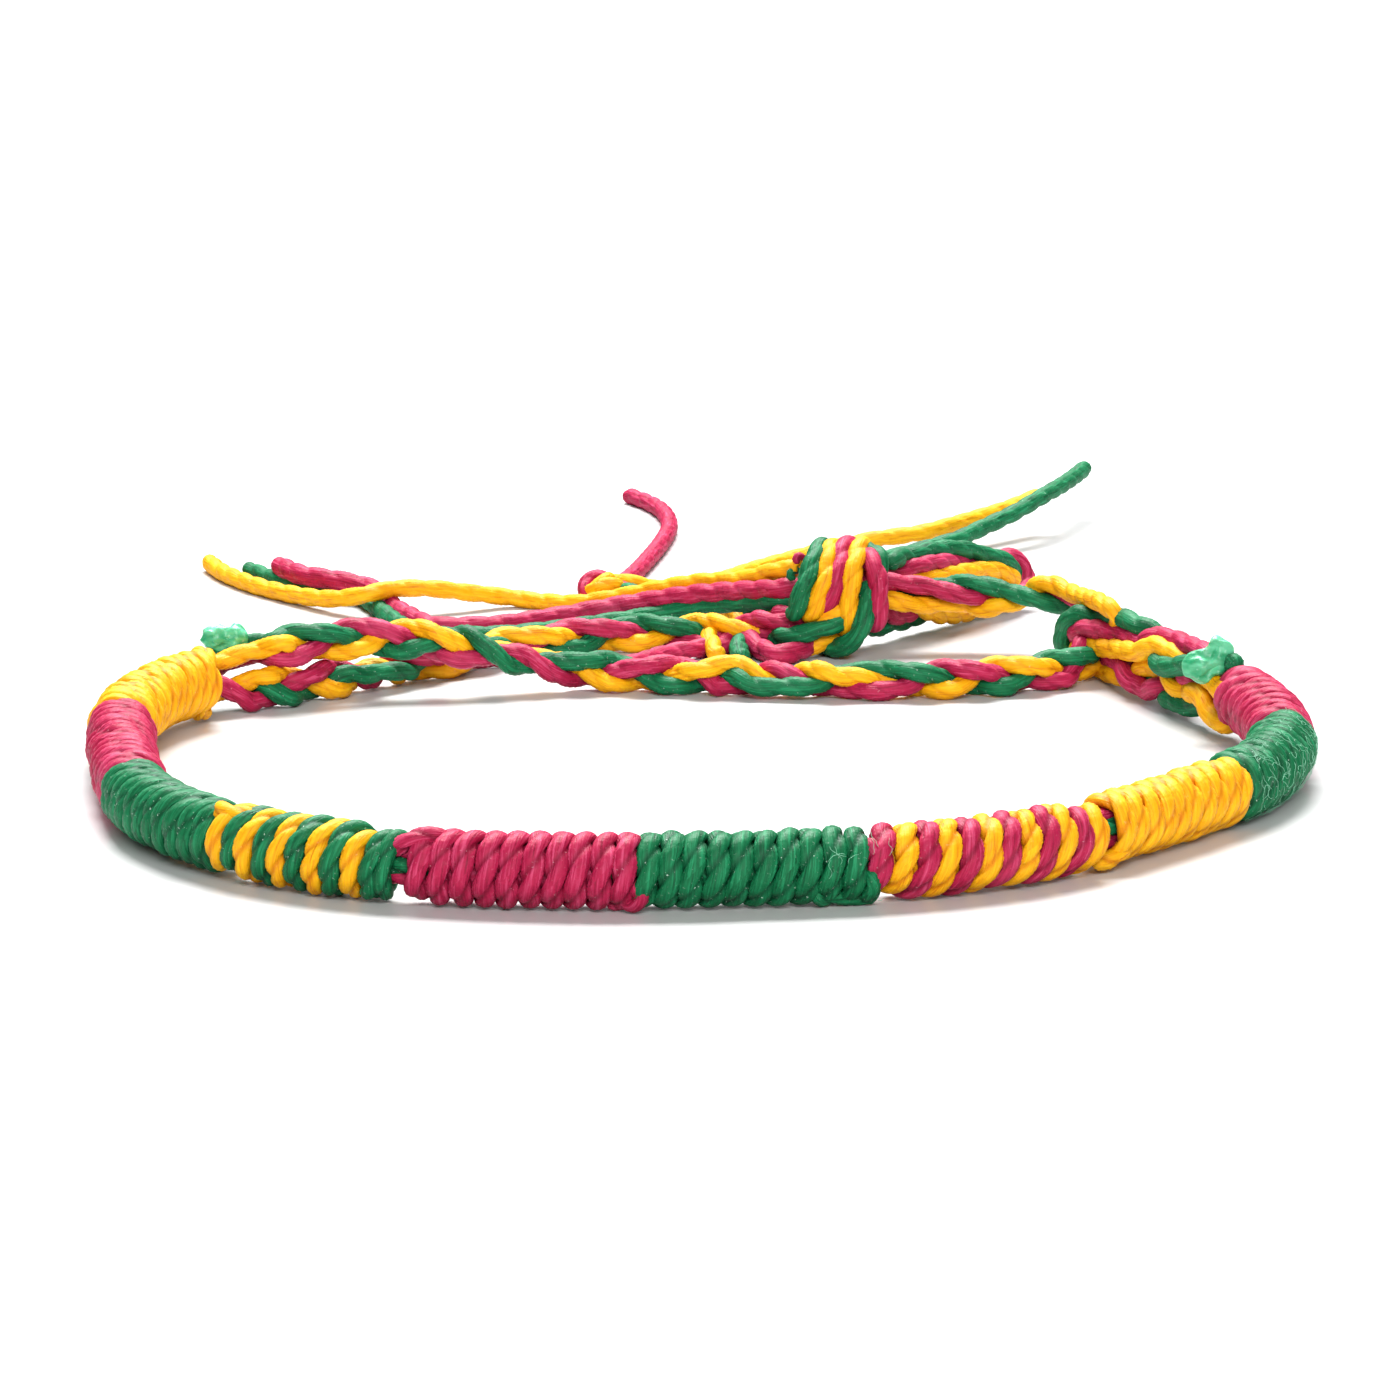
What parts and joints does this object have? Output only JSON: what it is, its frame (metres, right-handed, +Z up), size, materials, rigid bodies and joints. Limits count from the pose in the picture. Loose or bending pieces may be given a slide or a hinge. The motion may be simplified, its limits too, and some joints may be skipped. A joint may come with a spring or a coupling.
{
  "type": "braided bracelet",
  "caption": "Friendship bracelet of waxed cord: a band of colour-blocked wraps, closed by braided ties knotted through a braided loop, with loose cord ends.",
  "frame": {"origin": "middle of the bracelet's outline, without its loose cord ends, on the surface that it lies on", "axes": "+Z up from the surface; -Y towards the middle of the wrapped band; +Y towards the knot; +X towards the end with the loop"},
  "size_m": [0.0717, 0.1346, 0.0072],
  "materials": {
    "yellow_cord": "golden yellow waxed two-ply cord, slightly glossy",
    "pink_cord": "raspberry pink waxed two-ply cord, slightly glossy",
    "green_cord": "emerald green waxed two-ply cord with specks of white wax",
    "melted_end": "pale mint cord end, clipped and melted"
  },
  "bodies": {
    "root": {"core_cords": "green_cord", "wrap_left_yellow": "yellow_cord", "wrap_left_pink": "pink_cord", "wrap_left_green": "green_cord", "stripes_green_yellow": "green_cord", "wrap_front_pink": "pink_cord", "wrap_front_green": "green_cord", "stripes_pink_yellow": "yellow_cord", "wrap_right_yellow": "yellow_cord", "wrap_right_green": "green_cord", "wrap_right_pink": "pink_cord", "clipped_end_left": "melted_end", "clipped_end_right": "melted_end", "tie_braid_a": "yellow_cord", "tie_braid_b": "green_cord", "bow_braid": "green_cord", "end_braid": "pink_cord", "loop_braid": "pink_cord", "main_knot": "yellow_cord", "stopper_knot": "yellow_cord", "tail_left_yellow": "yellow_cord", "tail_left_pink": "pink_cord", "tail_left_green": "green_cord", "tail_back_pink": "pink_cord", "tail_right_yellow": "yellow_cord", "tail_right_green": "green_cord"}
  },
  "joints": []
}
